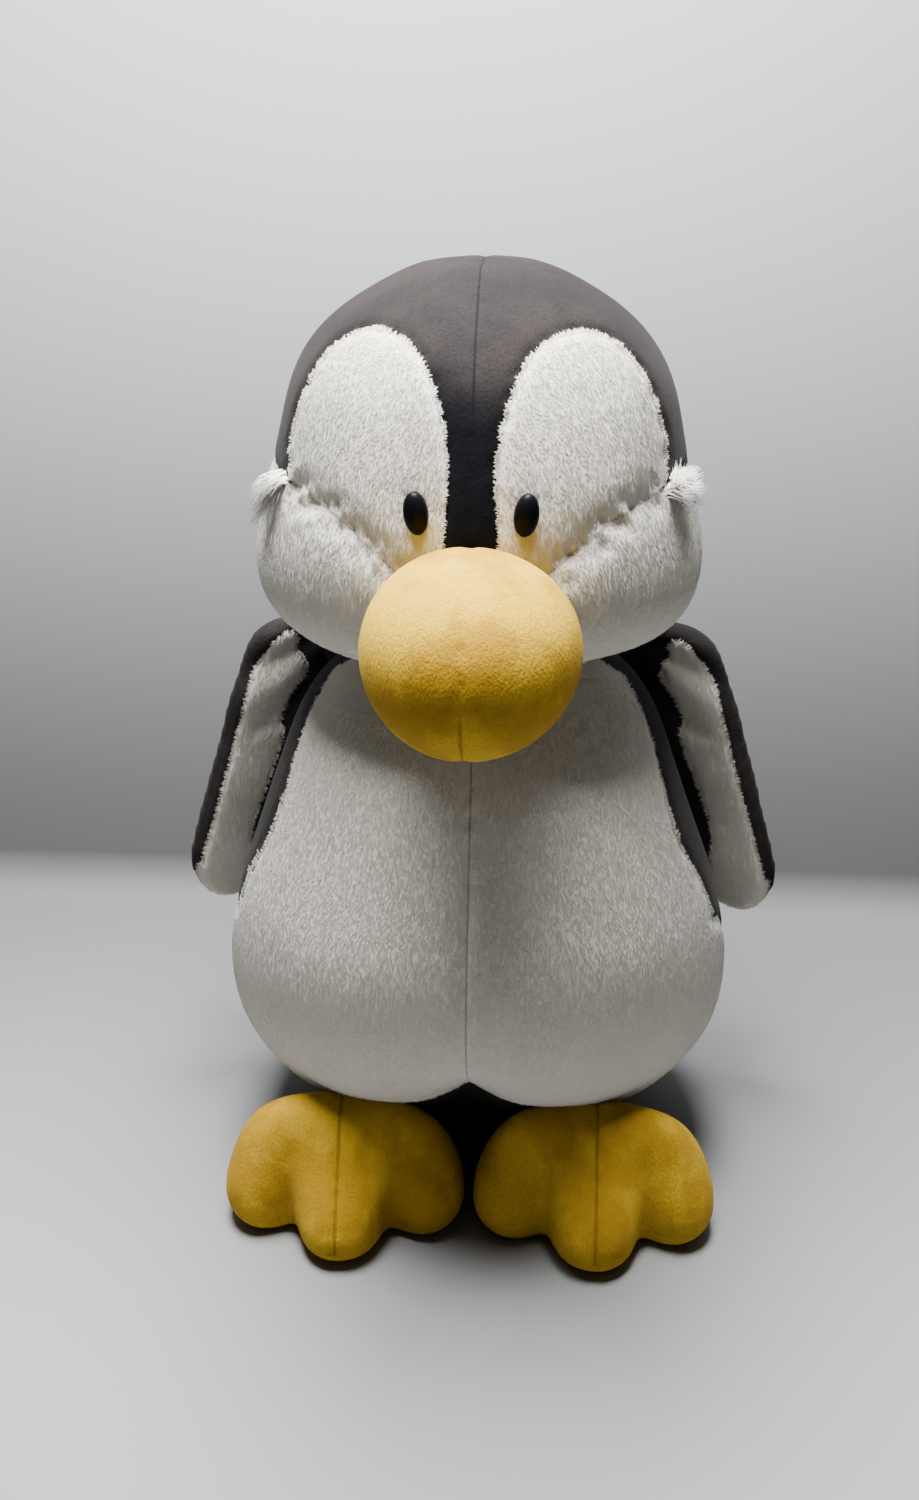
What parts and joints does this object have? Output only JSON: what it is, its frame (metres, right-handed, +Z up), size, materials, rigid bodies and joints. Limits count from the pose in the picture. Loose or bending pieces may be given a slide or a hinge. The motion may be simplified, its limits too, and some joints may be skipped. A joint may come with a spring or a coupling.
{
  "type": "plush penguin",
  "caption": "Sitting stuffed penguin with a round beak, puffed cheeks, hanging wings and three-toed feet; head, wings and feet bend at their seams.",
  "frame": {"origin": "on the floor in the middle of the seat, under the neck", "axes": "+Z up along the toy's height, -Y the way it looks, +X its own left side"},
  "size_m": [0.3462, 0.325, 0.4988],
  "materials": {
    "white_plush": "short soft plush pile",
    "white_long_pile": "long fluffy pile",
    "grey_plush": "short dark grey velour pile",
    "yellow_plush": "short yellow velour pile",
    "eye_plastic": "polished",
    "washer_plastic": "moulded",
    "polyester_stuffing": "loose polyester fibre",
    "bag_cloth": "plain woven cloth",
    "pellets": "loose plastic pellets",
    "label_cloth": "blank satin ribbon"
  },
  "bodies": {
    "torso": {"left_belly_panel": "white_plush", "right_belly_panel": "white_plush", "left_back_panel": "grey_plush", "right_back_panel": "grey_plush", "seat_panel": "grey_plush", "torso_stuffing": "polyester_stuffing", "pellet_bag": "bag_cloth", "pellet_fill": "pellets", "care_label": "label_cloth"},
    "neck": {"neck_stuffing": "polyester_stuffing"},
    "head": {"left_face_patch": "white_plush", "right_face_patch": "white_plush", "left_cheek_panel": "white_plush", "right_cheek_panel": "white_plush", "left_crown_panel": "grey_plush", "right_crown_panel": "grey_plush", "left_back_head_panel": "grey_plush", "right_back_head_panel": "grey_plush", "head_stuffing": "polyester_stuffing", "left_eye": "eye_plastic", "right_eye": "eye_plastic", "left_eye_washer": "washer_plastic", "right_eye_washer": "washer_plastic", "left_beak_half": "yellow_plush", "right_beak_half": "yellow_plush", "beak_stuffing": "polyester_stuffing", "left_cheek_tuft": "white_long_pile", "right_cheek_tuft": "white_long_pile"},
    "left_shoulder": {"left_shoulder_gusset": "grey_plush"},
    "left_wing": {"left_wing_inner_panel": "white_plush", "left_wing_outer_panel": "grey_plush", "left_wing_stuffing": "polyester_stuffing"},
    "left_foot": {"left_foot_upper_outside": "yellow_plush", "left_foot_upper_inside": "yellow_plush", "left_foot_sole": "yellow_plush", "left_foot_stuffing": "polyester_stuffing"},
    "right_shoulder": {"right_shoulder_gusset": "grey_plush"},
    "right_wing": {"right_wing_inner_panel": "white_plush", "right_wing_outer_panel": "grey_plush", "right_wing_stuffing": "polyester_stuffing"},
    "right_foot": {"right_foot_upper_outside": "yellow_plush", "right_foot_upper_inside": "yellow_plush", "right_foot_sole": "yellow_plush", "right_foot_stuffing": "polyester_stuffing"}
  },
  "joints": [
    {"name": "neck_turn", "type": "hinge", "parent": "torso", "child": "neck", "pos_m": [0, 0, 0.315], "axis": [0, 0, 1], "range_deg": [-20, 20], "stiffness_Nm_per_rad": 1},
    {"name": "neck_nod", "type": "hinge", "parent": "neck", "child": "head", "pos_m": [0, 0, 0.315], "axis": [1, 0, 0], "range_deg": [-8, 10], "stiffness_Nm_per_rad": 6},
    {"name": "left_wing_swing", "type": "hinge", "parent": "torso", "child": "left_shoulder", "pos_m": [0.08, 0.066, 0.29], "axis": [1, 0, 0], "range_deg": [-3, 20], "stiffness_Nm_per_rad": 0.12},
    {"name": "left_wing_lift", "type": "hinge", "parent": "left_shoulder", "child": "left_wing", "pos_m": [0.08, 0.066, 0.29], "axis": [0, -1, 0], "range_deg": [0, 50], "stiffness_Nm_per_rad": 0.08},
    {"name": "left_foot_tilt", "type": "hinge", "parent": "torso", "child": "left_foot", "pos_m": [0.064, -0.05, 0.062], "axis": [-1, 0, 0], "range_deg": [0, 10], "stiffness_Nm_per_rad": 2},
    {"name": "right_wing_swing", "type": "hinge", "parent": "torso", "child": "right_shoulder", "pos_m": [-0.08, 0.066, 0.29], "axis": [1, 0, 0], "range_deg": [-3, 20], "stiffness_Nm_per_rad": 0.12},
    {"name": "right_wing_lift", "type": "hinge", "parent": "right_shoulder", "child": "right_wing", "pos_m": [-0.08, 0.066, 0.29], "axis": [0, 1, 0], "range_deg": [0, 50], "stiffness_Nm_per_rad": 0.08},
    {"name": "right_foot_tilt", "type": "hinge", "parent": "torso", "child": "right_foot", "pos_m": [-0.064, -0.05, 0.062], "axis": [-1, 0, 0], "range_deg": [0, 10], "stiffness_Nm_per_rad": 2}
  ]
}
